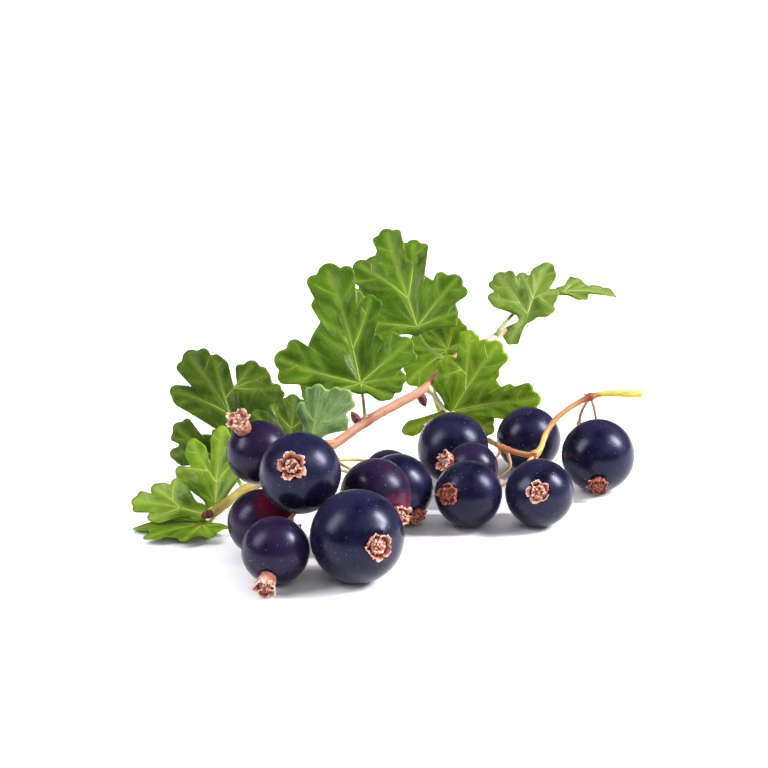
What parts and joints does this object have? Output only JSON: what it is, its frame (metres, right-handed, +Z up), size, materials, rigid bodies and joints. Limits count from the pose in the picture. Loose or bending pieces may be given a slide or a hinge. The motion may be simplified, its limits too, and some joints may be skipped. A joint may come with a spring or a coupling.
{
  "type": "blackcurrant sprig",
  "caption": "Leafy blackcurrant twig lying on its side, with ripe dark berries on two trusses, each berry tipped by its dried flower.",
  "frame": {"origin": "middle of the sprig's footprint, on the surface it lies on", "axes": "+X to the right along the sprig, towards the end with the cut twig and the bare truss end; +Y to its back, away from the front berries; +Z up"},
  "size_m": [0.0842, 0.1016, 0.0359],
  "materials": {
    "berry_skin": "dark navy skin with a waxy bloom",
    "dried_flower": "dry and papery",
    "bark": "smooth young bark",
    "stalk": "fresh, slightly waxy",
    "bud_scale": "dull maroon scales",
    "leaf_blade": "soft satin with raised veins"
  },
  "bodies": {
    "root": {"twig": "bark", "left_truss_stem": "stalk", "right_truss_stem": "stalk", "left_berry_1": "berry_skin", "left_flower_1": "dried_flower", "left_berry_2": "berry_skin", "left_flower_2": "dried_flower", "left_berry_3": "berry_skin", "left_flower_3": "dried_flower", "left_berry_4": "berry_skin", "left_flower_4": "dried_flower", "left_berry_5": "berry_skin", "left_flower_5": "dried_flower", "left_berry_6": "berry_skin", "left_flower_6": "dried_flower", "left_berry_7": "berry_skin", "left_flower_7": "dried_flower", "left_berry_8": "berry_skin", "left_flower_8": "dried_flower", "right_berry_1": "berry_skin", "right_flower_1": "dried_flower", "right_berry_2": "berry_skin", "right_flower_2": "dried_flower", "right_berry_3": "berry_skin", "right_flower_3": "dried_flower", "right_berry_4": "berry_skin", "right_flower_4": "dried_flower", "right_berry_5": "berry_skin", "right_flower_5": "dried_flower", "right_berry_6": "berry_skin", "right_flower_6": "dried_flower", "leaf_1": "leaf_blade", "leaf_2": "leaf_blade", "leaf_3": "leaf_blade", "leaf_4": "leaf_blade", "leaf_5": "leaf_blade", "leaf_6": "leaf_blade", "leaf_7": "leaf_blade", "leaf_8": "leaf_blade", "leaf_9": "leaf_blade", "leaf_10": "leaf_blade", "leaf_11": "leaf_blade", "leaf_12": "leaf_blade", "leaf_13": "leaf_blade", "node_bud_1": "bud_scale", "node_bud_2": "bud_scale", "tip_bud": "bud_scale"}
  },
  "joints": []
}
